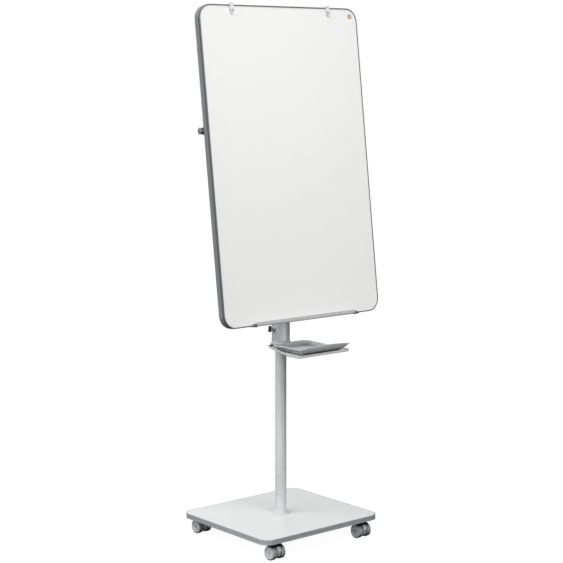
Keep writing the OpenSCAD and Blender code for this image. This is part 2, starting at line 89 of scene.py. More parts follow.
def aim(thing, way, axis="-Z"):
    """Turns one of an object's axes along a way."""
    thing.rotation_mode = "QUATERNION"
    thing.rotation_quaternion = way.to_track_quat(axis, "Y")


def make_camera():
    azimuth, dip = radians(CAMERA_AZIMUTH), radians(CAMERA_DIP)
    level = cos(dip)
    data = bpy.data.cameras.new("camera")
    data.lens = CAMERA_LENS
    camera = add("camera", data)
    camera.location = CAMERA_PLACE
    aim(camera, Vector((-sin(azimuth) * level, cos(azimuth) * level, -sin(dip))))
    bpy.context.scene.camera = camera


def make_soft_sun(name, toward, strength, spread):
    """Even light from a wide patch of the sky. At strength 1 a white surface that faces it shows white."""
    data = bpy.data.lights.new(name, "SUN")
    data.energy = strength * pi
    data.angle = radians(spread)
    aim(add(name, data), Vector(toward), "Z")


def make_board_light():
    """A near lamp that fades down the board's face."""
    data = bpy.data.lights.new("board_light", "AREA")
    data.shape = "DISK"
    data.size = 0.8
    data.energy = 5.0
    lamp = add("board_light", data)
    lamp.location = (-0.2, -1.2, 2.2)
    aim(lamp, Vector((0.0, 0.0, 1.60)) - lamp.location)


def make_low_spot(name, place, toward, power, cone, blend):
    """A low spot from the left whose cone lights one band of the object's height."""
    data = bpy.data.lights.new(name, "SPOT")
    data.energy = power
    data.spot_size = radians(cone)
    data.spot_blend = blend
    data.shadow_soft_size = 0.12
    lamp = add(name, data)
    lamp.visible_glossy = False
    lamp.location = place
    aim(lamp, Vector(toward) - lamp.location)


def shade_node(tree, kind, color, strength=None):
    node = tree.nodes.new(kind)
    node.inputs["Color"].default_value = (*color, 1.0)
    if strength is not None:
        node.inputs["Strength"].default_value = strength
    return node.outputs[0]


def show_apart(tree, output, seen, unseen):
    """Gives the camera one shader and all other rays another."""
    mix = tree.nodes.new("ShaderNodeMixShader")
    path = tree.nodes.new("ShaderNodeLightPath")
    tree.links.new(path.outputs["Is Camera Ray"], mix.inputs["Fac"])
    tree.links.new(unseen, mix.inputs[1])
    tree.links.new(seen, mix.inputs[2])
    tree.links.new(mix.outputs["Shader"], tree.nodes.new(output).inputs["Surface"])


def make_world():
    """A white surround that looks pure white and lights the object more softly than it looks."""
    world = bpy.data.worlds.new("studio")
    bpy.context.scene.world = world
    world.use_nodes = True
    tree = world.node_tree
    tree.nodes.clear()
    seen = shade_node(tree, "ShaderNodeBackground", (1.0, 1.0, 1.0), 1.0)
    light = shade_node(tree, "ShaderNodeBackground", (0.985, 0.995, 1.0), 0.42)
    show_apart(tree, "ShaderNodeOutputWorld", seen, light)


def make_floor():
    """A floor that looks nearly white, with a faint contact shadow, and throws little light back up."""
    half = 30.0  # metres
    mesh = bpy.data.meshes.new("floor")
    mesh.from_pydata([(x, y, 0) for x, y in section(-half, half, -half, half)], [], [(0, 1, 2, 3)])
    floor = add("floor", mesh)
    material = bpy.data.materials.new("floor_white")
    material.use_nodes = True
    tree = material.node_tree
    tree.nodes.clear()
    seen = tree.nodes.new("ShaderNodeAddShader")
    tree.links.new(shade_node(tree, "ShaderNodeBsdfDiffuse", (0.06, 0.06, 0.06)), seen.inputs[0])
    tree.links.new(shade_node(tree, "ShaderNodeEmission", (1.0, 1.0, 1.0), 0.97), seen.inputs[1])
    dark = shade_node(tree, "ShaderNodeBsdfDiffuse", (0.03, 0.03, 0.03))
    show_apart(tree, "ShaderNodeOutputMaterial", seen.outputs["Shader"], dark)
    mesh.materials.append(material)


bpy.context.scene.view_settings.view_transform = "Standard"
make_camera()
make_world()
make_floor()
make_board_light()
make_low_spot("caster_light", (-2.85, -1.0, 0.12), (0.0, 0.0, -0.90), 190.0, 36.2, 0.04)
make_low_spot("column_light", (-2.95, -0.5, 0.53), (0.0, 0.0, 0.53), 135.0, 13.0, 0.4)
make_soft_sun("left_light", (-0.70, 0.06, 0.71), 0.70, 60.0)
make_soft_sun("front_light", (-0.15, -0.62, 0.77), 0.36, 40.0)
make_soft_sun("low_light", (0.10, -0.97, 0.20), 0.18, 30.0)
make_soft_sun("back_light", (0.35, 0.93, 0.10), 0.40, 30.0)

# ---- shells: lists of points and faces that pieces are put together from ----
# A shell is (points, faces, edges, strip): edges marks points on rounded edges, where a finish wears and, on the
# tray pan, takes a painted highlight, and strip holds each point's way (along, across) over a swept profile, in
# metres.


def quarter(steps):
    """Evenly spaced angles over a right angle."""
    return [pi / 2 * k / steps for k in range(steps + 1)]


def polar(radius, angle, z):
    return Vector((radius * cos(angle), radius * sin(angle), z))


def skin(rings, wrap_rings=False, wrap_points=True, cap=False, edges=None, strip=None):
    """A shell through rings that all hold the same number of points."""
    count, size = len(rings), len(rings[0])
    points = [point for ring in rings for point in ring]
    faces = []
    for i in range(count if wrap_rings else count - 1):
        for j in range(size if wrap_points else size - 1):
            after, beside = (i + 1) % count, (j + 1) % size
            faces.append((i * size + j, i * size + beside, after * size + beside, after * size + j))
    if cap:
        faces.append(tuple(reversed(range(size))))
        faces.append(tuple(range((count - 1) * size, count * size)))
    edges = edges or [0.0] * len(points)
    strip = strip or [(0.0, 0.0)] * len(points)
    return points, faces, edges, strip


def fillet(corners, radius, steps=4, closed=True):
    """Rounds an outline's corners. radius is one value or one per corner. Gives (x, y, edge) points."""
    result = []
    for i, corner in enumerate(corners):
        r = radius[i] if isinstance(radius, (list, tuple)) else radius
        last = not closed and i in (0, len(corners) - 1)
        here = Vector(corner)
        if r == 0 or last:
            result.append((here.x, here.y, 0.0))
            continue
        to_last = (Vector(corners[i - 1]) - here).normalized()
        to_next = (Vector(corners[(i + 1) % len(corners)]) - here).normalized()
        half = to_last.angle(to_next) / 2
        centre = here + (to_last + to_next).normalized() * (r / sin(half))
        first = here + to_last * (r / tan(half)) - centre
        final = here + to_next * (r / tan(half)) - centre
        start = atan2(first.y, first.x)
        turn = atan2(final.y, final.x) - start
        turn = (turn + pi) % FULL_TURN - pi
        for k in range(steps + 1):
            angle = start + turn * k / steps
            result.append((centre.x + r * cos(angle), centre.y + r * sin(angle), 1.0))
    return result


def lathe(profile, place=UPRIGHT, segments=96, closed=True, start=0.0, sweep=FULL_TURN):
    """Turns a profile of (radius, height, edge) about the place's Z axis."""
    whole = abs(sweep - FULL_TURN) < 1e-6
    count = segments if whole else segments + 1
    rings, strip = [], []
    for i in range(count):
        angle = start + sweep * i / segments
        rings.append([place @ polar(r, angle, h) for r, h, _ in profile])
        strip += [(angle * r, h) for r, h, _ in profile]
    edges = [edge for _, _, edge in profile] * count
    return skin(rings, wrap_rings=whole, wrap_points=closed, cap=not whole, edges=edges, strip=strip)


def inset(outline, distance):
    """Moves a closed outline's points inwards, whichever way it runs. A point's edge value is left out."""
    area = sum(p[0] * q[1] - q[0] * p[1] for p, q in zip(outline, outline[1:] + outline[:1]))
    side = 1 if area > 0 else -1
    result = []
    for i, point in enumerate(outline):
        here, last = Vector(point[:2]), Vector(outline[i - 1][:2])
        after = Vector(outline[(i + 1) % len(outline)][:2])
        a, b = (here - last).normalized(), (after - here).normalized()
        na, nb = Vector((-a.y, a.x)) * side, Vector((-b.y, b.x)) * side
        result.append(here + (na + nb) * (distance / (1 + na.dot(nb))))
    return result


def slab(outline, low, high, edge, place=UPRIGHT, steps=3):
    """An outline in the place's XY plane made solid between two heights, with rounded rims."""
    rim = [(edge * (1 - sin(a)), edge * (1 - cos(a))) for a in quarter(steps)]
    levels = [(distance, low + rise) for distance, rise in rim]
    levels += [(distance, high - rise) for distance, rise in reversed(rim)]
    rings = [[place @ Vector((x, y, z)) for x, y in inset(outline, distance)] for distance, z in levels]
    return skin(rings, cap=True, edges=[1.0] * (len(rings) * len(outline)))


def rounded_box(width, depth, radius, steps=12, centre=(0.0, 0.0)):
    """The outline of a rectangle with round corners."""
    x, y = width / 2, depth / 2
    return [(px + centre[0], py + centre[1]) for px, py, _ in fillet(section(-x, x, -y, y), radius, steps)]


def block(low, high, edge, corner, place=UPRIGHT, axis="Z"):
    """A box between two corners with round edges; corner rounds the edges that run along axis."""
    turn = {"Z": UPRIGHT, "Y": AXIS_Y}[axis]
    a, b = turn.inverted() @ Vector(low), turn.inverted() @ Vector(high)
    low, high = Vector(map(min, a, b)), Vector(map(max, a, b))
    middle = (low + high) / 2
    outline = rounded_box(high.x - low.x, high.y - low.y, corner, 4, (middle.x, middle.y))
    return slab(outline, low.z, high.z, edge, place @ turn)


def follow(profile, path, closed=True):
    """Sweeps a closed profile of (inward, depth, edge) along a path of (point, inward, depth) frames."""
    rings, strip, length, last = [], [], 0.0, path[0][0]
    across = [0.0]
    for a, b in zip(profile, profile[1:]):
        across.append(across[-1] + dist(a[:2], b[:2]))
    for point, inward, depth in path:
        length += (point - last).length
        last = point
        rings.append([point + inward * u + depth * v for u, v, _ in profile])
        strip += [(length, way) for way in across]
    edges = [edge for _, _, edge in profile] * len(path)
    return skin(rings, wrap_rings=closed, cap=not closed, edges=edges, strip=strip)


def rounded_path(width, height, radius, place, steps=16):
    """Frames round a rectangle with round corners in the place's XZ plane, with depth along its Y."""
    x, z = width / 2 - radius, height / 2 - radius
    path = []
    for quarter, (cx, cz) in enumerate(((x, z), (-x, z), (-x, -z), (x, -z))):
        for k in range(steps + 1):
            angle = pi / 2 * (quarter + k / steps)
            out = Vector((cos(angle), 0, sin(angle)))
            point = place @ (Vector((cx, 0, cz)) + out * radius)
            path.append((point, place.to_3x3() @ -out, place.to_3x3() @ Vector((0, 1, 0))))
    return path


def weld_bead(path, radius):
    """A round bead along an open path of points, rippled like a weld."""
    ripple, ripple_step, sides = 0.12, 1.9, 8
    rings = []
    for i, point in enumerate(path):
        ahead = (path[min(i + 1, len(path) - 1)] - path[max(i - 1, 0)]).normalized()
        side = ahead.cross(Vector((0, 0, 1)))
        if side.length < 0.1:
            side = ahead.cross(Vector((0, 1, 0)))
        side.normalize()
        up = side.cross(ahead)
        r = radius * (1 + ripple * sin(i * ripple_step))
        rings.append([point + (side * cos(a) + up * sin(a)) * r
                      for a in (FULL_TURN * k / sides for k in range(sides))])
    return skin(rings, cap=True)


def piece(name, shells, look, body, stands_for=(), sharp=38.0):
    """Makes one mesh object from shells, gives it a material and lets it ride on a body."""
    work = bmesh.new()
    edge_layer = work.verts.layers.float.new("edge")
    strip_layer = work.verts.layers.float_vector.new("strip")
    for points, faces, edges, strip in shells:
        made = [work.verts.new(point) for point in points]
        for vertex, edge, way in zip(made, edges, strip):
            vertex[edge_layer] = edge
            vertex[strip_layer] = (way[0], way[1], 0.0)
        for face in faces:
            work.faces.new([made[i] for i in face])
        bmesh.ops.remove_doubles(work, verts=made, dist=0.004 * MM)
    bmesh.ops.dissolve_degenerate(work, dist=0.001 * MM, edges=work.edges)
    bmesh.ops.recalc_face_normals(work, faces=work.faces)
    mesh = bpy.data.meshes.new(name)
    work.to_mesh(mesh)
    work.free()
    mesh.shade_smooth()
    mesh.set_sharp_from_angle(angle=radians(sharp))
    mesh.materials.append(look)
    made = add(name, mesh)
    shading = made.modifiers.new("even_shading", "WEIGHTED_NORMAL")
    shading.keep_sharp = True
    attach(made, body)
    if stands_for:
        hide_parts(*stands_for)
    return made


# ---- materials ----


def scaled(color, by, plus=0.0):
    return tuple(min(1.0, c * by + plus) for c in color)


class Finish:
    """One material, built up node by node. Lengths in textures are in metres."""

    def __init__(self, slot, color, roughness, name=None, **constants):
        self.material = bpy.data.materials.new(name or slot)
        self.material.use_nodes = True
        self.material["slot"] = slot
        self.nodes, self.links = self.material.node_tree.nodes, self.material.node_tree.links
        self.shader = self.nodes["Principled BSDF"]
        self.shader.inputs["Base Color"].default_value = (*color, 1.0)
        self.shader.inputs["Roughness"].default_value = roughness
        for key, value in constants.items():
            self.shader.inputs[key.replace("_", " ")].default_value = value
        self.color, self.roughness = color, roughness
        self.place = self.nodes.new("ShaderNodeTexCoord").outputs["Object"]
        self.color_from = self.rough_from = self.height_from = None

    def node(self, kind, source=None, **values):
        """A node with some of its values set, and its Vector input linked where it has a source."""
        made = self.nodes.new("ShaderNode" + kind)
        for key, value in values.items():
            made.inputs[key.replace("_", " ")].default_value = value
        if source is not None:
            self.links.new(source, made.inputs["Vector"])
        return made

    def attribute(self, name, output):
        node = self.nodes.new("ShaderNodeAttribute")
        node.attribute_name = name
        return node.outputs[output]

    def stretched(self, source, scale):
        return self.node("Mapping", source, Scale=scale).outputs["Vector"]

    def noise(self, grain, detail=3.0, source=None):
        """Noise whose grains are about grain metres across."""
        node = self.node("TexNoise", source or self.place, Scale=1.0 / grain, Detail=detail, Roughness=0.55)
        return node.outputs["Fac"]

    def cells(self, size):
        return self.node("TexVoronoi", self.place, Scale=1.0 / size).outputs["Distance"]

    def spread(self, source, low, high, start=0.3, end=0.7):
        """Maps a 0..1 pattern between start and end to values from low to high."""
        node = self.node("MapRange", From_Min=start, From_Max=end, To_Min=low, To_Max=high)
        self.links.new(source, node.inputs["Value"])
        return node.outputs["Result"]

    def math(self, operation, a, b):
        node = self.nodes.new("ShaderNodeMath")
        node.operation = operation
        for socket, value in zip(node.inputs, (a, b)):
            if isinstance(value, (int, float)):
                socket.default_value = value
            else:
                self.links.new(value, socket)
        return node.outputs["Value"]

    def tint(self, amount, other):
        """Blends the colour so far towards another colour by a pattern of 0..1."""
        node = self.nodes.new("ShaderNodeMix")
        node.data_type = "RGBA"
        self.links.new(amount, node.inputs["Factor"])
        if self.color_from is None:
            node.inputs[6].default_value = (*self.color, 1.0)
        else:
            self.links.new(self.color_from, node.inputs[6])
        node.inputs[7].default_value = (*other, 1.0)
        self.color_from = node.outputs[2]
        self.links.new(self.color_from, self.shader.inputs["Base Color"])
        return self

    def rough(self, pattern, amount):
        """Adds a pattern, centred on a half, to the roughness."""
        base = self.roughness if self.rough_from is None else self.rough_from
        shifted = self.math("MULTIPLY", self.math("SUBTRACT", pattern, 0.5), 2 * amount)
        self.rough_from = self.math("ADD", base, shifted)
        self.links.new(self.rough_from, self.shader.inputs["Roughness"])
        return self

    def relief(self, pattern, depth):
        """Adds a bump of that depth in metres."""
        node = self.node("Bump", Strength=1.0, Distance=depth)
        self.links.new(pattern, node.inputs["Height"])
        if self.height_from is not None:
            self.links.new(self.height_from, node.inputs["Normal"])
        self.height_from = node.outputs["Normal"]
        self.links.new(self.height_from, self.shader.inputs["Normal"])
        return self

    def edge_wear_and_highlight(self, color, strength=0.5):
        """Tints the rounded edges towards another colour, in patches: wear, and on the tray pan also a painted
        highlight along its rims.
        """
        patches = self.spread(self.noise(12 * MM, 6.0), 0.0, strength, 0.45, 0.7)
        return self.tint(self.math("MULTIPLY", self.attribute("edge", "Fac"), patches), color)

    def paint_shade(self, reach, amount, start=0.35, end=0.85):
        """Paints shade into the colour in narrow gaps and corners, where light is lost."""
        node = self.node("AmbientOcclusion", Distance=reach)
        node.samples = 8
        hidden = self.math("SUBTRACT", 1.0, node.outputs["AO"])
        return self.tint(self.spread(hidden, 0.0, amount, start, end), scaled(self.color, 0.05))

    def mottled(self, size, amount):
        """Slow light and dark patches, as any large painted or moulded surface has."""
        return self.tint(self.spread(self.noise(size, 4.0), 0.0, 1.0), scaled(self.color, 1 - amount))


def laminate():
    f = Finish("base_laminate", (0.61, 0.62, 0.617), 0.42)
    f.mottled(90 * MM, 0.025)
    f.tint(f.spread(f.noise(0.9 * MM, 2.0), 0.0, 0.35, 0.55, 0.75), (0.52, 0.53, 0.527))
    f.rough(f.noise(35 * MM, 5.0), 0.06)
    f.relief(f.noise(0.7 * MM, 3.0), 0.02 * MM)
    return f.material


def edge_band():
    f = Finish("edge_band", (0.28, 0.295, 0.305), 0.5)
    f.mottled(40 * MM, 0.06)
    f.rough(f.noise(9 * MM, 4.0), 0.08)
    f.relief(f.noise(0.5 * MM, 3.0), 0.03 * MM)
    return f.edge_wear_and_highlight((0.40, 0.41, 0.42), 0.5).material


def powder_coat(slot, color, name=None, metal=0.0, rough=0.42, shade=0.0):
    """Baked powder coat: fine orange peel, a trace of metal flake; where shade is given, painted shade in gaps and
    corners.
    """
    f = Finish(slot, color, rough, name, Metallic=metal)
    f.mottled(60 * MM, 0.015)
    f.tint(f.spread(f.noise(0.35 * MM, 1.0), 0.0, 0.12, 0.62, 0.7), scaled(color, 1.3))
    f.rough(f.noise(16 * MM, 5.0), 0.02)
    f.relief(f.noise(1.6 * MM, 2.0), 0.03 * MM)
    f.edge_wear_and_highlight(scaled(color, 1.25), 0.4)
    return (f.paint_shade(20 * MM, shade) if shade else f).material


def zinc():
    f = Finish("steel_bright", (0.60, 0.61, 0.62), 0.34, Metallic=1.0)
    f.mottled(7 * MM, 0.12)
    f.rough(f.noise(2.5 * MM, 5.0), 0.12)
    f.relief(f.noise(0.4 * MM, 3.0), 0.012 * MM)
    return f.edge_wear_and_highlight((0.78, 0.78, 0.78), 0.6).material


def moulded(slot, color, rough=0.5, name=None, spark=0.05, edge_lighten=1.5, wear_and_highlight=0.45, shade=0.0):
    """Moulded plastic with a spark-eroded grain, lighter rounded edges (wear, and where raised a painted
    highlight) and, where shade is given, painted shade in gaps and corners.
    """
    f = Finish(slot, color, rough, name)
    f.mottled(30 * MM, 0.06)
    f.rough(f.noise(6 * MM, 4.0), 0.07)
    f.relief(f.cells(0.55 * MM), spark * MM)
    f.relief(f.noise(0.25 * MM, 2.0), 0.4 * spark * MM)
    f.edge_wear_and_highlight(scaled(color, edge_lighten, 0.01), wear_and_highlight)
    return (f.paint_shade(34 * MM, shade) if shade else f).material


def enamel():
    """Glossy enamel on steel, with a slow waviness and faint wiped streaks."""
    f = Finish("enamel_white", (0.885, 0.882, 0.872), 0.22, Coat_Weight=0.3, Coat_Roughness=0.08)
    wiped = f.stretched(f.place, (1.0, 1.0, 0.18))
    f.tint(f.spread(f.noise(70 * MM, 6.0, wiped), 0.0, 0.5, 0.5, 0.8), (0.862, 0.860, 0.852))
    f.rough(f.noise(24 * MM, 6.0, wiped), 0.05)
    f.relief(f.noise(28 * MM, 2.0), 0.02 * MM)
    f.relief(f.noise(1.2 * MM, 2.0), 0.002 * MM)
    return f.material


def extruded(slot, color, rough, metal, lip_from=None):
    """Extrusion with fine die lines along the profile, and a darker lip from lip_from across it."""
    f = Finish(slot, color, rough, Metallic=metal)
    way = f.stretched(f.attribute("strip", "Vector"), (6.0, 5200.0, 1.0))
    lines = f.noise(1.0, 3.0, way)
    f.mottled(120 * MM, 0.05)
    f.tint(f.spread(lines, 0.0, 0.22, 0.45, 0.75), scaled(color, 0.8))
    f.rough(lines, 0.09)
    f.relief(lines, 0.006 * MM)
    f.edge_wear_and_highlight(scaled(color, 1.3), 0.35)
    if lip_from:
        parts = f.nodes.new("ShaderNodeSeparateXYZ")
        f.links.new(f.attribute("strip", "Vector"), parts.inputs["Vector"])
        f.tint(f.spread(parts.outputs["Y"], 0.0, 1.0, lip_from, lip_from + MM), scaled(color, 0.46))
    return f.material


def honeycomb():
    f = Finish("honeycomb_core", (0.34, 0.22, 0.11), 0.9)
    f.mottled(12 * MM, 0.2)
    f.relief(f.cells(10 * MM), 0.6 * MM)
    return f.material


def back_sheet():
    """Bare aluminium sheet, rolled along its height."""
    f = Finish("back_sheet", (0.62, 0.63, 0.64), 0.38, Metallic=0.9)
    rolled = f.noise(1.0, 4.0, f.stretched(f.place, (1500.0, 40.0, 14.0)))
    f.mottled(160 * MM, 0.05)
    f.tint(f.spread(rolled, 0.0, 0.3, 0.4, 0.8), (0.52, 0.53, 0.54))
    f.rough(rolled, 0.08)
    f.relief(rolled, 0.008 * MM)
    return f.material


def clear_clip():
    """Frosted clear polycarbonate."""
    f = Finish("hook_clear", (0.92, 0.925, 0.93), 0.25, IOR=1.4, Transmission_Weight=0.3)
    f.mottled(8 * MM, 0.05)
    f.rough(f.noise(3 * MM, 4.0), 0.08)
    f.relief(f.noise(1.1 * MM, 2.0), 0.015 * MM)
    return f.edge_wear_and_highlight((0.92, 0.93, 0.94), 0.5).material


def badge():
    """A domed resin plate in two warm tones, with no mark on it."""
    f = Finish("badge_amber", (0.60, 0.45, 0.34), 0.18, Coat_Weight=1.0, Coat_Roughness=0.04)
    f.mottled(5 * MM, 0.15)
    f.rough(f.noise(2 * MM, 3.0), 0.04)
    f.relief(f.noise(3 * MM, 1.0), 0.01 * MM)
    return f.tint(f.attribute("edge", "Fac"), (0.30, 0.21, 0.15)).material


def rubber():
    f = Finish("tyre_grey", (0.30, 0.305, 0.315), 0.72)
    f.mottled(9 * MM, 0.2)
    f.tint(f.spread(f.noise(3.5 * MM, 6.0), 0.0, 0.35, 0.52, 0.75), (0.42, 0.42, 0.43))
    f.rough(f.noise(4 * MM, 5.0), 0.1)
    f.relief(f.noise(0.5 * MM, 3.0), 0.05 * MM)
    # painted shade: blackens the tread bottoms near the floor and the gaps between the treads and the web
    return f.paint_shade(40 * MM, 0.97, 0.25, 0.65).material


LAMINATE = laminate()
EDGE_BAND = edge_band()
COLUMN = powder_coat("column_silver", (0.50, 0.505, 0.51), rough=0.46)
FOOT_RING = powder_coat("column_silver", (0.50, 0.51, 0.51), "foot_ring_paint", rough=0.46)
SLEEVE = powder_coat("sleeve_grey", (0.62, 0.635, 0.64), rough=0.32, metal=0.45)
# shade paints shade into the shelf's gaps and corners
TRAY_LIGHT = powder_coat("tray_light", (0.54, 0.55, 0.555), rough=0.42, shade=0.9)
# the pan's lighter edges are wear and a painted highlight along its rims; shade paints dark shade under the front
# lip and in the corners
TRAY_GREY = moulded("tray_grey", (0.46, 0.465, 0.47), 0.52, edge_lighten=1.7, wear_and_highlight=0.6, shade=0.95)
STEEL_DARK = powder_coat("steel_dark", (0.075, 0.078, 0.082), rough=0.45)
ZINC = zinc()
BLACK = moulded("black_plastic", (0.012, 0.012, 0.013), 0.42, spark=0.04, edge_lighten=3.0)
KNOB_GREY = moulded("knob_grey", (0.22, 0.225, 0.23), 0.5)
CAP_GREY = moulded("knob_grey", (0.10, 0.104, 0.108), 0.5, "ledge_cap_grey")
ENAMEL = enamel()
CORE = honeycomb()
BACK = back_sheet()
FRAME_GREY = extruded("frame_grey", (0.34, 0.355, 0.37), 0.42, metal=0.35, lip_from=76.5 * MM)
LEDGE = extruded("ledge_silver", (0.54, 0.545, 0.55), 0.45, metal=0.1)
BADGE = badge()
CLIP = clear_clip()
DISC = moulded("disc_grey", (0.43, 0.435, 0.45), 0.42, spark=0.03)
TYRE = rubber()
# shade paints dark shade on the web between and round the wheels
WEB_GREY = moulded("black_plastic", (0.36, 0.365, 0.375), 0.5, "web_grey", shade=0.8)

LOOKS = {look["slot"]: look for look in (
    LAMINATE, EDGE_BAND, COLUMN, SLEEVE, TRAY_LIGHT, TRAY_GREY, STEEL_DARK, ZINC, BLACK, KNOB_GREY,
    ENAMEL, CORE, BACK, FRAME_GREY, LEDGE, BADGE, CLIP, DISC, TYRE)}


def paint_cad_nodes():
    """Every CAD node that stays visible takes its slot's material."""
    for part in frame["record"]["subparts"]:
        mesh = frame["nodes"][part["node"]].data
        mesh.materials.clear()
        mesh.materials.append(LOOKS[part["material_slot"]])


paint_cad_nodes()

# ---- places that several pieces share ----


def local_box(node, place):
    """A CAD node's lowest and highest corner in a place's own axes."""
    inverse = place.inverted()
    points = [inverse @ v.co for v in frame["nodes"][node].data.vertices]
    low = Vector(min(p[i] for p in points) for i in range(3))
    high = Vector(max(p[i] for p in points) for i in range(3))
    return low, high


def board_place():
    """The middle of the board frame's front plane, with Z up along the board and Y into it."""
    normal = Vector(next(m for m in frame["record"]["mounts"] if m["name"] == "paper_peg_left")["axis"])
    lean = atan2(normal.z, -normal.y)
    turn = Matrix.Rotation(-lean, 4, "X")
    low, high = local_box("edge_frame", turn)
    return turn @ Matrix.Translation(((low.x + high.x) / 2, low.y, (low.z + high.z) / 2))


def joint(name):
    return next(j for j in frame["joints"] if j["name"] == name)


BOARD = board_place()
TILT = Vector(joint("board_tilt")["pos_m"])

# ---- base ----

BASE_CORNER = 40 * MM
BAND = 4 * MM


def make_base():
    low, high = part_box("base_board")
    panel = rounded_box(high.x - low.x, high.y - low.y, BASE_CORNER - BAND, 16)
    piece("panel", [slab(panel, low.z, high.z, 0.3 * MM)], LAMINATE, "base", ["base_board"])

    low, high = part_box("base_edge_band")
    flat = Matrix.Translation((0, 0, low.z)) @ Matrix.Rotation(pi / 2, 4, "X")
    thick = high.z - low.z
    groove = 0.7 * MM
    corners = section(0, BAND, 0, thick)
    for top, middle, bottom in ((0.70, 0.65, 0.60), (0.38, 0.33, 0.28)):
        corners += [(0, thick * top), (groove, thick * middle), (0, thick * bottom)]
    profile = fillet(corners,
                     mm(1.4, 0.2, 0.2, 1.4, 0, 0, 0, 0, 0, 0))
    path = []
    for point, inward, _ in rounded_path(high.x - low.x, high.y - low.y, BASE_CORNER, flat):
        path.append((point, inward, Vector((0, 0, 1))))
    piece("band", [follow(profile, path)], EDGE_BAND, "base", ["base_edge_band"])


def make_foot_ring():
    low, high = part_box("column_foot_ring")
    inner, outer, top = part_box("column_tube")[1].x, high.x, high.z - low.z
    profile = [(inner, 0, 0.0), (outer, 0, 0.0), (outer, 0.5 * MM, 1.0)]
    steps = 14
    for k in range(steps + 1):
        t = k / steps
        profile.append((outer + (inner - outer) * (0.02 + 0.98 * t), top * (0.25 + 0.75 * t ** 2.2), 0.0))
    piece("foot_ring", [lathe(profile, at((0, 0, low.z)))], FOOT_RING, "base", ["column_foot_ring"])


def make_under_base():
    low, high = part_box("base_washer_plate")
    profile = fillet(section(8 * MM, high.x, low.z, high.z), 0.6 * MM)
    piece("washer_plate", [lathe(profile)], STEEL_DARK, "base", ["base_washer_plate"])

    plate_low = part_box("caster_mounts")[0]
    plate_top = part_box("base_board")[0].z
    plate_t, plate_w, stem_r = 3 * MM, 46 * MM, 5.5 * MM
    shells = []
    for corner in CORNERS:
        x, y = Vector(joint(f"caster_{corner}_swivel")["pos_m"]).xy
        outline = rounded_box(plate_w, plate_w, 6 * MM, 6, (x, y))
        shells.append(slab(outline, plate_top - plate_t, plate_top, 0.5 * MM))
        stem = fillet(section(0, stem_r, plate_low.z, plate_top - plate_t), 0.5 * MM, closed=False)
        shells.append(lathe(stem, at((x, y, 0)), 48, closed=False))
        cup = fillet([(stem_r, 0), (17 * MM, 0), (14 * MM, -1.8 * MM), (stem_r, -1.8 * MM)],
                     mm(0, 0.3, 0.8, 0))
        shells.append(lathe(cup, at((x, y, plate_top - plate_t)), 48))
    piece("caster_plates", shells, STEEL_DARK, "base", ["caster_mounts"])

    screw_out = 17 * MM
    bolt_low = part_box("base_fasteners")[0].z
    screws = [hex_head(at((0, 0, low.z), DOWN), 13 * MM, low.z - bolt_low)]
    for corner in CORNERS:
        x, y = Vector(joint(f"caster_{corner}_swivel")["pos_m"]).xy
        for dx in (-screw_out, screw_out):
            for dy in (-screw_out, screw_out):
                place = at((x + dx, y + dy, plate_top - plate_t), DOWN)
                screws.append(socket_head(place, 4 * MM, 1.6 * MM, 1.5 * MM))
    piece("base_screws", screws, ZINC, "base", ["base_fasteners"])


def polygon_radius(angle, across, sides):
    """Distance from the middle to the edge of a regular polygon with that half width."""
    part = FULL_TURN / sides
    return across / cos((angle + part / 2) % part - part / 2)


def socket_head(place, radius, height, socket, sides=6, count=48):
    """A domed screw head with a driver recess, standing up along the place's Z."""
    angles = [FULL_TURN * k / count for k in range(count)]
    rings, edges = [], []
    steps = 5
    for k in range(steps + 1):
        t = pi / 2 * k / steps
        r = radius - (radius - socket * 1.35) * (1 - cos(t))
        z = height * (0.25 + 0.75 * sin(t)) if k else 0.0
        rings.append([place @ polar(r, a, z) for a in angles])
        edges += [1.0] * count
    for z in (height, height * 0.25):
        rings.append([place @ polar(polygon_radius(a, socket, sides), a, z) for a in angles])
        edges += [0.0] * count
    return skin(rings, cap=True, edges=edges)


def hex_head(place, across, height, count=72):
    """A hexagon bolt head with its corners turned off."""
    angles = [FULL_TURN * k / count for k in range(count)]
    flat = across * cos(pi / 6)
    rings, edges = [], []
    turned_off = ((0.0, across), (height * 0.82, across), (height * 0.93, flat * 1.03), (height, flat * 0.93))
    for z, limit in turned_off:
        rings.append([place @ polar(min(limit, polygon_radius(a, flat, 6)), a, z) for a in angles])
        edges += [1.0 if limit < across else 0.0] * count
    return skin(rings, cap=True, edges=edges)


make_base()
make_foot_ring()
make_under_base()

# ---- column ----


def make_tube(name, node, wall, rim, look, body):
    low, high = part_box(node)
    profile = fillet(section(high.x - wall, high.x, low.z, high.z), rim)
    piece(name, [lathe(profile, UPRIGHT, 128)], look, body, [node])


def make_column():
    wall = 2.5 * MM
    make_tube("tube", "column_tube", 2 * MM, 0.4 * MM, COLUMN, "base")
    make_tube("sleeve", "sleeve_tube", wall, 0.7 * MM, SLEEVE, "sleeve")

    low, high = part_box("sleeve_tube")
    radius = high.x
    bush_low, bush_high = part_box("sleeve_bush")
    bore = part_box("column_tube")[1].x + 0.06 * MM
    profile = fillet([(bore, bush_low.z), (radius, bush_low.z), (radius, low.z), (radius - wall, low.z),
                      (radius - wall, bush_high.z), (bore, bush_high.z)], mm(0.8, 1.2, 0.3, 0, 0.3, 0.3))
    piece("sleeve_bush_ring", [lathe(profile)], BLACK, "sleeve", ["sleeve_bush"])


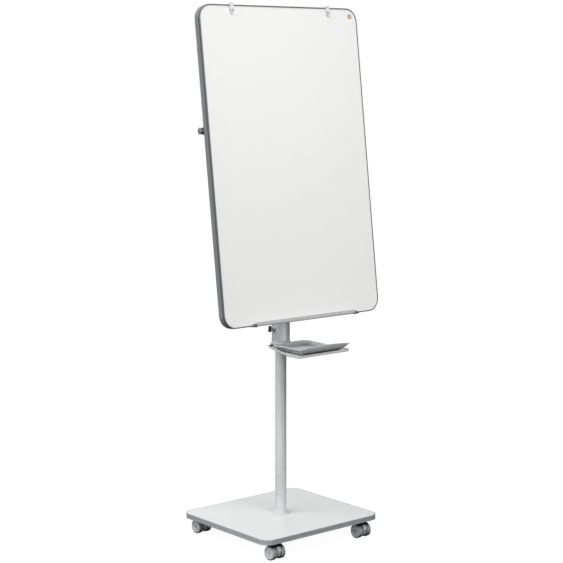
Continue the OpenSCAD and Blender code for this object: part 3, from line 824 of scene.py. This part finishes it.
def make_mast():
    low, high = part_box("upper_mast")
    collar = high.x
    sleeve_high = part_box("sleeve_tube")[1].z
    mast, wall, plug = 19 * MM, 2.5 * MM, 29.5 * MM
    collar_h = 4 * MM
    collar_top = sleeve_high + collar_h
    profile = fillet([(mast - wall, low.z), (plug, low.z), (plug, sleeve_high), (collar, sleeve_high),
                      (collar, collar_top), (mast, collar_top), (mast, high.z), (mast - wall, high.z)],
                     mm(0.3, 0.5, 0, 0.6, 1.6, 2.2, 0.4, 0.4))
    shells = [lathe(profile, UPRIGHT, 128)]
    rod_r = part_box("cross_tube")[1].z - TILT.z
    for side in (-1, 1):
        path, steps = [], 40
        for k in range(steps + 1):
            angle = pi * (1 + k / steps)
            y, z = rod_r * cos(angle), rod_r * sin(angle)
            path.append(Vector((side * sqrt(mast ** 2 - y ** 2), y, TILT.z + z)))
        shells.append(weld_bead(path, 1.9 * MM))
    piece("mast", shells, SLEEVE, "sleeve", ["upper_mast"])

    low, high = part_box("cross_tube")
    wall = 2 * MM
    profile = fillet(section(rod_r - wall, rod_r, low.x, high.x), 0.5 * MM)
    piece("cross_rod", [lathe(profile, at((0, 0, TILT.z), AXIS_X))], SLEEVE, "sleeve", ["cross_tube"])


make_column()
make_mast()

# ---- height lock ----


def make_lock():
    """The boss on the sleeve, and a flat tapered wing on the spindle."""
    spindle = Vector(joint("height_lock")["pos_m"])
    left = at((0, spindle.y, spindle.z), MINUS_X)
    low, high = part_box("lock_boss")
    bore, boss_r, sleeve_r = 5.06 * MM, 8 * MM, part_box("sleeve_tube")[1].x
    profile = fillet(section(bore, boss_r, -high.x, -low.x), mm(0, 0, 1.0, 0.4))
    rim_r, rim_low = boss_r + 3 * MM, sleeve_r - 0.8 * MM
    rim = fillet([(boss_r, rim_low), (rim_r, rim_low), (rim_r, sleeve_r + 0.6 * MM),
                  (boss_r, sleeve_r + 1.6 * MM)],
                 mm(0, 0.3, 0.4, 0))
    piece("boss", [lathe(profile, left, 64), lathe(rim, left, 64)], ZINC, "sleeve", ["lock_boss"])

    low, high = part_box("lock_knob")
    narrow = 7 * MM
    outline = fillet([(low.x, low.z), (high.x, low.z), (high.x, high.z), (high.x - narrow, high.z)],
                     mm(2.0, 1.2, 1.2, 2.0), 6)
    wing = slab(outline, low.y, high.y, 1.2 * MM, FACE, 4)
    piece("lock_grip", [wing], BLACK, "lock_knob", ["lock_knob"])


make_lock()

# ---- tray ----


def holder_outline(low, high):
    """The sheet shelf's plan: a wide front that narrows to a fork around the column."""
    half = (high.x - low.x) / 2
    side_y, neck_y = -170 * MM, -22 * MM
    neck, end = 66 * MM, 50 * MM
    notch_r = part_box("sleeve_tube")[1].x + 0.3 * MM
    mouth = asin(high.y / notch_r)
    corners = [(half, low.y), (half, side_y), (neck, neck_y), (end, high.y)]
    radii = mm(10, 30, 12, 6)
    notch, steps = [], 28
    for k in range(steps + 1):
        angle = mouth - (pi + 2 * mouth) * k / steps
        notch.append((notch_r * cos(angle), notch_r * sin(angle)))
    mirrored = [(-x, y) for x, y in reversed(corners)]
    return fillet(corners + notch + mirrored, radii + [0] * len(notch) + radii[::-1], 8)


def folded_shelf(low, high, wall, bend):
    """A shallow pressed tray: a floor with a turned-up rim, one sheet thick."""
    outer = holder_outline(low, high)
    rings, edges = [], []

    def ring(distance, z, edge):
        rings.append([Vector((x, y, z)) for x, y in inset(outer, distance)])
        edges.extend([edge] * len(outer))

    steps = 4
    for angle in quarter(steps):
        ring(bend * (1 - sin(angle)), low.z + bend * (1 - cos(angle)), 0.3)
    ring(0.0, high.z - wall / 2, 0.0)
    for k in range(1, steps):
        angle = pi * k / steps
        ring(wall / 2 * (1 - cos(angle)), high.z - wall / 2 + wall / 2 * sin(angle), 1.0)
    ring(wall, high.z - wall / 2, 0.0)
    inner = max(bend - wall, 0.3 * MM)
    for angle in quarter(steps):
        ring(wall + inner * (1 - cos(angle)), low.z + wall + inner * (1 - sin(angle)), 0.3)
    return skin(rings, cap=True, edges=edges)


def make_shelf():
    low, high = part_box("tray_holder")
    piece("tray_shelf", [folded_shelf(low, high, 1.5 * MM, 2.5 * MM)], TRAY_LIGHT, "sleeve", ["tray_holder"])


def pan_wall_path(half, back, corner, front):
    """Frames round the pan's open plan, from the front of one side over the back to the other side."""
    path, up = [], Vector((0, 0, 1))
    near = [front + k * 7 * MM for k in range(6)]
    for y in near:
        path.append((Vector((half, y, 0)), Vector((-1, 0, 0)), up))
    steps = 12
    for sign in (1, -1):
        for k in range(steps + 1):
            angle = pi / 2 * (k if sign > 0 else steps - k) / steps
            out = Vector((sign * cos(angle), sin(angle), 0))
            centre = Vector((sign * (half - corner), back - corner, 0))
            path.append((centre + out * corner, -out, up))
    for y in reversed(near):
        path.append((Vector((-half, y, 0)), Vector((1, 0, 0)), up))
    return path


def make_dish():
    """The loose pan: upright walls with a broad rim and a foot flange, and a quarter-round front lip
    that flares upwards to an arched edge."""
    low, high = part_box("tray_pan")
    lip_r, wall = 33.5 * MM, 2.0 * MM
    centre_y, centre_z = low.y + lip_r, low.z + lip_r
    half, corner = 71 * MM, 18 * MM
    rim_z, rim_w, rim_t = 705 * MM - low.z, 9 * MM, 2.5 * MM
    tip_half, tip_z = (high.x - low.x) / 2, 715 * MM
    back = high.y - 3 * MM

    def lip_y(z, radius):
        return centre_y - sqrt(max(0.0, radius ** 2 - min(0.0, z - centre_z) ** 2))

    def spread(z):
        return half + (tip_half - half) * min(1.0, (z - low.z) / (tip_z - low.z))

    def angles(radius, end_z):
        """Evenly spaced round the quarter circle, from its foot up to a height."""
        end = acos(max(-1.0, min(1.0, (centre_z - end_z) / radius)))
        return [end * j / rows for j in range(rows + 1)]

    profile = fillet(
        [(0, 0), (0, 2.5 * MM), (-2 * MM, 2.5 * MM), (-2 * MM, 4.5 * MM), (0, 4.5 * MM), (0, rim_z - rim_t),
         (-rim_w, rim_z - rim_t), (-rim_w, rim_z), (wall, rim_z), (wall, wall), (wall, 0)],
        mm(0, 0.3, 0.6, 0.6, 0.5, 1.2, 0.8, 1.1, 1.4, 0, 0), 4)
    path = [(point + Vector((0, 0, low.z)), inward, up)
            for point, inward, up in pan_wall_path(half, back, corner, low.y + 2 * MM)]
    points, faces, edges, strip = follow(profile, path, closed=False)
    flare, flare_from, flare_over = 0.62 * (tip_half - half - rim_w), low.y + 38 * MM, 34 * MM
    for point in points:
        near = max(0.0, min(1.0, (flare_from - point.y) / flare_over))
        if point.z > low.z + rim_z - rim_t - 0.1 * MM and abs(point.x) > half + 3 * MM:
            point.x += copysign(flare * near ** 2 * (3 - 2 * near), point.x)
        point.y = max(point.y, lip_y(point.z, lip_r - wall / 2))
    shells = [(points, faces, edges, strip)]

    side, near, far = half - MM, centre_y - 2 * MM, back - MM
    outline = fillet([(side, near), (side, far), (-side, far), (-side, near)],
                     [0, corner - MM, corner - MM, 0], 12)
    points, faces, edges, strip = slab(outline, low.z, low.z + wall, 0.3 * MM)
    shells.append((points, faces, [0.0] * len(points), strip))

    columns, rows, turns = 64, 18, 6
    edge_r, inner_r = 1.7 * MM, lip_r - wall
    rings = []
    for i in range(columns + 1):
        u = -1 + 2 * i / columns
        top = tip_z + (high.z - tip_z) * (1 - u * u)
        outline = []
        for angle in angles(lip_r, top - edge_r):
            z = centre_z - lip_r * cos(angle)
            outline.append((lip_y(z, lip_r), z))
        for k in range(1, turns + 1):
            angle = pi * k / turns
            z = top - edge_r + edge_r * sin(angle)
            outline.append((lip_y(z, lip_r) + edge_r * (1 - cos(angle)), z))
        for angle in reversed(angles(inner_r, top - 4 * edge_r)):
            outline.append((centre_y - inner_r * sin(angle), centre_z - inner_r * cos(angle)))
        rings.append([Vector((u * spread(z), y, z)) for y, z in outline])
    # the lip's rolled top edge is marked, so the pan's edge tint lightens it: wear and a painted highlight along
    # the ridge
    ring_edges = [0.0] * (rows + 1) + [1.0] * turns + [0.0] * (rows + 1)
    shells.append(skin(rings, cap=True, edges=ring_edges * len(rings)))
    piece("tray_dish", shells, TRAY_GREY, "sleeve", ["tray_pan"], sharp=50)


make_shelf()
make_dish()


def make_tray_collar():
    """A ring on the sleeve, with two arms whose feet the shelf is screwed to."""
    low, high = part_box("tray_clamp")
    shelf_low, shelf_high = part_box("tray_holder")
    ring_low = shelf_high.z
    radius, inner = high.x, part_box("sleeve_tube")[1].x
    profile = fillet(section(inner, radius, ring_low, high.z), mm(0.3, 1.0, 1.4, 0.3))
    shells = [lathe(profile, UPRIGHT, 128)]
    arm_x, arm_half, arm_back = 27 * MM, 4 * MM, -28 * MM
    for x in (-arm_x, arm_x):
        left, right = x - arm_half, x + arm_half
        shells.append(block((left, low.y, ring_low), (right, arm_back, ring_low + 4 * MM), *mm(0.8, 1.5)))
        shells.append(block((left, low.y, low.z), (right, arm_back, ring_low + MM), *mm(0.5, 1.0)))
    piece("tray_collar", shells, SLEEVE, "sleeve", ["tray_clamp"])

    low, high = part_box("tray_screws")
    heads = [socket_head(at((x, (low.y + high.y) / 2, shelf_low.z), DOWN), 3.5 * MM, 1.5 * MM, 1.3 * MM)
             for x in (-arm_x, arm_x)]
    piece("tray_screw_heads", heads, ZINC, "sleeve", ["tray_screws"])


make_tray_collar()

# ---- board ----


def make_frame():
    """The extruded frame: a lip over the face, a crowned side, and a lip behind."""
    low, high = local_box("edge_frame", BOARD)
    depth = high.y - low.y
    profile = fillet(
        [(2.5 * MM, 2.0 * MM), (2.5 * MM, depth - 2.0 * MM), (16 * MM, depth - 2.0 * MM), (16 * MM, depth),
         (0.35 * MM, depth), (0.0, depth / 2), (0.35 * MM, 0.0), (4.6 * MM, 0.0), (4.6 * MM, 2.0 * MM)],
        mm(0.1, 0.1, 0.3, 0.9, 4.2, 0, 1.8, 0.8, 0.2), 6)
    path = rounded_path(high.x - low.x, high.z - low.z, 48 * MM, BOARD, 24)
    piece("frame_profile", [follow(profile, path)], FRAME_GREY, "board", ["edge_frame"])


def make_ledge():
    """The open trough: a thin floor and a lip whose foot is rounded, with a tapered stop at each end."""
    low, high = local_box("pen_ledge", BOARD)
    wall = 1.6 * MM
    front, lip = low.y, high.z
    outline = [(0.0, low.z), (front, low.z), (front, lip), (front + wall, lip), (front + wall, low.z + wall),
               (0.0, low.z + wall)]
    profile = fillet(outline, mm(0.1, 5.5, 0.75, 0.75, 3.6, 0.1), 8)
    side, up = BOARD.to_3x3() @ Vector((0, 1, 0)), BOARD.to_3x3() @ Vector((0, 0, 1))
    path = [(BOARD @ Vector((x, 0, 0)), side, up) for x in (low.x, high.x)]
    piece("ledge", [follow(profile, path, closed=False)], LEDGE, "board", ["pen_ledge"])

    low, high = local_box("ledge_end_caps", BOARD)
    length = 20 * MM
    shells = []
    for sign in (-1, 1):
        inner = high.x - length
        corners = [(sign * inner, low.z), (sign * high.x, low.z + 2 * MM), (sign * high.x, low.z + 5 * MM),
                   (sign * (inner + 8 * MM), high.z), (sign * inner, high.z)]
        outline = fillet(corners, mm(0.5, 1.6, 1.8, 1.8, 0.5), 4)
        shells.append(slab(outline, -high.y, -low.y, 1.0 * MM, BOARD @ FACE))
    piece("ledge_stops", shells, CAP_GREY, "board", ["ledge_end_caps"])


def make_brackets():
    low, high = local_box("tilt_brackets", BOARD)
    back = low.y
    sheet = 3 * MM
    axis = BOARD.inverted() @ TILT
    flange_w, flange_h, ear_r = 34 * MM, high.z - low.z, 16 * MM
    screw_in, screw_up = 24 * MM, 34 * MM
    turn_front = Matrix(((1, 0, 0, 0), (0, 0, 1, 0), (0, 1, 0, 0), (0, 0, 0, 1)))
    shells, screws = [], []
    head_h = local_box("bracket_screws", BOARD)[1].y - back - sheet
    for sign in (-1, 1):
        outer = sign * high.x
        inner = sign * (high.x - sheet - flange_w)
        middle = (outer + inner) / 2
        flange = rounded_box(abs(outer - inner), flange_h, 5 * MM, 6, (middle, (low.z + high.z) / 2))
        shells.append(slab(flange, back, back + sheet, 0.5 * MM, BOARD @ turn_front))
        ear = [(back + 0.2 * MM, axis.z - ear_r), (axis.y, axis.z - ear_r)]
        steps = 20
        for k in range(1, steps):
            angle = -pi / 2 + pi * k / steps
            ear.append((axis.y + ear_r * cos(angle), axis.z + ear_r * sin(angle)))
        ear += [(axis.y, axis.z + ear_r), (back + 0.2 * MM, axis.z + ear_r)]
        a, b = sorted((outer, outer - sign * sheet))
        shells.append(slab(ear, a, b, 0.5 * MM, BOARD @ AXIS_X))
        for end in (-1, 1):
            spot = (sign * (high.x - sheet - screw_in), back + sheet, axis.z + end * screw_up)
            screws.append(socket_head(BOARD @ at(spot, Matrix.Rotation(-pi / 2, 4, "X")),
                                      5 * MM, head_h, 1.8 * MM))
    piece("brackets", shells, STEEL_DARK, "board", ["tilt_brackets"])
    piece("bracket_screw_heads", screws, ZINC, "board", ["bracket_screws"])


def make_badge():
    low, high = local_box("badge_plate", BOARD)
    middle = (low + high) / 2
    rings, edges = [], []
    width, height = high.x - low.x, high.z - low.z
    for shrink, rise in ((0.0, 0.0), (0.0, 0.35), (0.3, 0.62), (0.9, 0.82), (1.8, 0.95), (3.0, 1.0)):
        size = width - 2 * shrink * MM, height - 2 * shrink * MM
        outline = rounded_box(*size, max(3 - shrink, 0.5) * MM, 6, (middle.x, middle.z))
        rings.append([BOARD @ FACE @ Vector((x, z, -high.y + rise * (high.y - low.y))) for x, z in outline])
        edges += [1.0 if shrink < 1 else 0.0] * len(outline)
    piece("badge_dome", [skin(rings, cap=True, edges=edges)], BADGE, "board", ["badge_plate"], sharp=60)


make_frame()
make_ledge()
make_brackets()
make_badge()

# ---- paper hooks ----


def make_clip(side):
    """A moulded clip over the frame, with a shouldered tongue, a peg with a round end and a grip tab."""
    node = f"hook_{side}"
    low, high = local_box(node, BOARD)
    peg = next(m for m in frame["record"]["mounts"] if m["name"] == f"paper_peg_{side}")
    peg_at = BOARD.inverted() @ Vector(peg["pos_m"])
    peg_r, peg_l = peg["dims"]["r_mm"] * MM, peg["dims"]["length_mm"] * MM
    sheet, tab_h, tab_t = 2.2 * MM, 5 * MM, 3.5 * MM
    x, half, tip = (low.x + high.x) / 2, (high.x - low.x) / 2, 6.5 * MM
    front, back = peg_at.y + peg_l / 2, high.y
    top, bottom = high.z - tab_h, low.z
    shoulder = bottom + 19 * MM
    neck = shoulder - 5 * MM
    tongue = fillet(
        [(x - half, top), (x - half, shoulder), (x - tip, neck), (x - tip, bottom),
         (x + tip, bottom), (x + tip, neck), (x + half, shoulder), (x + half, top)],
        mm(0.8, 2.5, 2.5, 6.0, 6.0, 2.5, 2.5, 0.8), 6)
    shells = [slab(tongue, -(front + sheet), -front, 0.6 * MM, BOARD @ FACE)]
    shells.append(block((x - half, front, top - sheet), (x + half, back, top), 0.6 * MM, 0.8 * MM, BOARD))
    shells.append(block((x - half, back - sheet, top - 26.5 * MM), (x + half, back, top - 0.3 * MM),
                        0.6 * MM, 2.5 * MM, BOARD, "Y"))
    tab_half = half - 3 * MM
    shells.append(block((x - tab_half, front, top - 0.5 * MM), (x + tab_half, front + tab_t, high.z),
                        0.5 * MM, 1.6 * MM, BOARD))
    pin = BOARD @ at((x, front, peg_at.z), Matrix.Rotation(pi / 2, 4, "X"))
    root, fade = -0.5 * MM, 1.2 * MM
    profile = fillet([(0, root), (peg_r + fade, root), (peg_r, fade), (peg_r, peg_l), (0, peg_l)],
                     mm(0, 0, 1.0, 1.6, 0), 5, closed=False)
    shells.append(lathe(profile, pin, 40, closed=False))
    piece(f"clip_{side}", shells, CLIP, node, [node])


make_clip("left")
make_clip("right")

# ---- tilt knobs ----


def lobed(radius, depth, lobes, count=120):
    """A wavy knob outline."""
    result = []
    for k in range(count):
        angle = FULL_TURN * k / count
        r = radius - depth * (0.5 - 0.5 * cos(lobes * angle))
        result.append((r * cos(angle), r * sin(angle)))
    return result


def make_grip(side):
    sign = -1 if side == "left" else 1
    node = f"tilt_knob_{side}"
    low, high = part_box(node)
    start, end = (-high.x, -low.x) if sign < 0 else (low.x, high.x)
    place = at(TILT, AXIS_X if sign > 0 else MINUS_X)
    reach = (high.z - low.z) / 2
    cap = slab(lobed(reach, 2.6 * MM, 6), end - 10 * MM, end - 0.6 * MM, 2.0 * MM, place, 5)
    button = fillet(section(0, 6.4 * MM, end - 3 * MM, end), mm(0, 0, 0.6, 0))
    neck = fillet(section(4 * MM, 9.5 * MM, start, end - 9 * MM), mm(0, 1.2, 0.6, 0), 5)
    piece(f"grip_cap_{side}", [cap, lathe(button, place, 64)], KNOB_GREY, node, [node])
    piece(f"grip_neck_{side}", [lathe(neck, place, 64)], BLACK, node)


make_grip("left")
make_grip("right")

# ---- casters ----


def arc(radius, start, sweep, steps):
    """Points round a circle, with its angles in degrees."""
    angles = (radians(start + sweep * k / steps) for k in range(steps + 1))
    return [(radius * cos(angle), radius * sin(angle)) for angle in angles]


def make_caster(corner):
    housing = f"caster_{corner}_housing"
    swivel = Vector(joint(f"caster_{corner}_swivel")["pos_m"])
    axle = Vector(joint(f"wheel_{corner}_l_roll")["pos_m"])
    axle.x = swivel.x
    low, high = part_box(housing)
    place = at(axle, AXIS_X)
    web, half = 7.5 * MM, (high.x - low.x) / 2
    web_r = axle.z - low.z
    hood_in, hood_out = 26.4 * MM, 28.5 * MM
    # local X of the place points along world Y, and local Y up
    start, sweep = radians(55.5), radians(69.0)
    profile = fillet(section(hood_in, hood_out, -half, half), mm(0.5, 0.9, 0.9, 0.5))
    shells = [lathe(profile, place, 40, start=start, sweep=sweep)]
    web_outline = arc(27.4 * MM, 18, 144, 40) + arc(web_r, 194, 152, 24)
    boss_r, bore, boss_low = 9.8 * MM, 5.6 * MM, 36 * MM
    boss = fillet([(bore, high.z), (bore, boss_low + 2 * MM), (0, boss_low + 2 * MM), (0, boss_low),
                   (boss_r, boss_low), (boss_r, high.z)], mm(0.3, 0, 0, 0, 1, 0.8))
    shells.append(lathe(boss, at((swivel.x, swivel.y, 0)), 48))
    piece(f"hood_{corner}", shells, BLACK, f"caster_{corner}", [housing])
    piece(f"web_{corner}", [slab(web_outline, -web, web, 1.0 * MM, place)], WEB_GREY, f"caster_{corner}")

    for wheel in ("l", "r"):
        make_wheel(corner, wheel, axle)


def make_wheel(corner, wheel, axle):
    disc, tyre = f"caster_{corner}_disc_{wheel}", f"caster_{corner}_tyre_{wheel}"
    body = f"wheel_{corner}_{wheel}"
    low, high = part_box(tyre)
    sign = -1 if wheel == "l" else 1
    middle = (low.x + high.x) / 2
    place = at((middle, axle.y, axle.z), AXIS_X if sign > 0 else MINUS_X)
    half, outer = (high.x - low.x) / 2, (high.z - low.z) / 2
    rim, bore = 20.5 * MM, 3.06 * MM
    # the tread: round shoulders and two grooves
    groove, groove_x, groove_half = 1.1 * MM, 2.4 * MM, 0.9 * MM
    tread = [(rim, -half), (outer - 0.4 * MM, -half), (outer, -half + 3 * MM)]
    for x in (-groove_x, groove_x):
        tread += [(outer, x - groove_half), (outer - groove, x), (outer, x + groove_half)]
    tread += [(outer, half - 3 * MM), (outer - 0.4 * MM, half), (rim, half - 0.6 * MM)]
    tread = fillet(tread, mm(0, 2.2, 1.5, 0.3, 0.3, 0.3, 0.3, 0.3, 0.3, 1.5, 2.2, 0), 5)
    piece(f"tread_{corner}_{wheel}", [lathe(tread, place)], TYRE, body, [tyre])
    # the moulded disc: a rim bead, a shallow dish and a raised hub
    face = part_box(disc)
    top = (face[1].x - middle) if sign > 0 else (middle - face[0].x)
    hub = fillet(
        [(bore, -half), (rim, -half), (rim, half - 1.0 * MM), (rim - 0.9 * MM, top - 0.2 * MM),
         (rim - 2.4 * MM, top - 0.1 * MM), (rim - 3.6 * MM, half - 1.3 * MM), (12 * MM, half - 2.0 * MM),
         (10.2 * MM, half - 1.8 * MM), (9.2 * MM, top - 0.3 * MM), (6.4 * MM, top),
         (5.2 * MM, top - 0.9 * MM), (bore, top - 0.9 * MM)],
        mm(0.3, 0.3, 0.4, 0.5, 0.7, 1.2, 1.5, 0.9, 0.8, 0.6, 0.4, 0.2), 4)
    plug_top = top - 0.6 * MM
    plug = fillet([(0, plug_top), (bore + 0.4 * MM, plug_top), (bore + 0.6 * MM, top - 1.2 * MM)],
                  mm(0, 0.3, 0), closed=False)
    shells = [lathe(hub, place), lathe(plug, place, 32, closed=False)]
    piece(f"disc_{corner}_{wheel}", shells, DISC, body, [disc])


for corner in CORNERS:
    make_caster(corner)
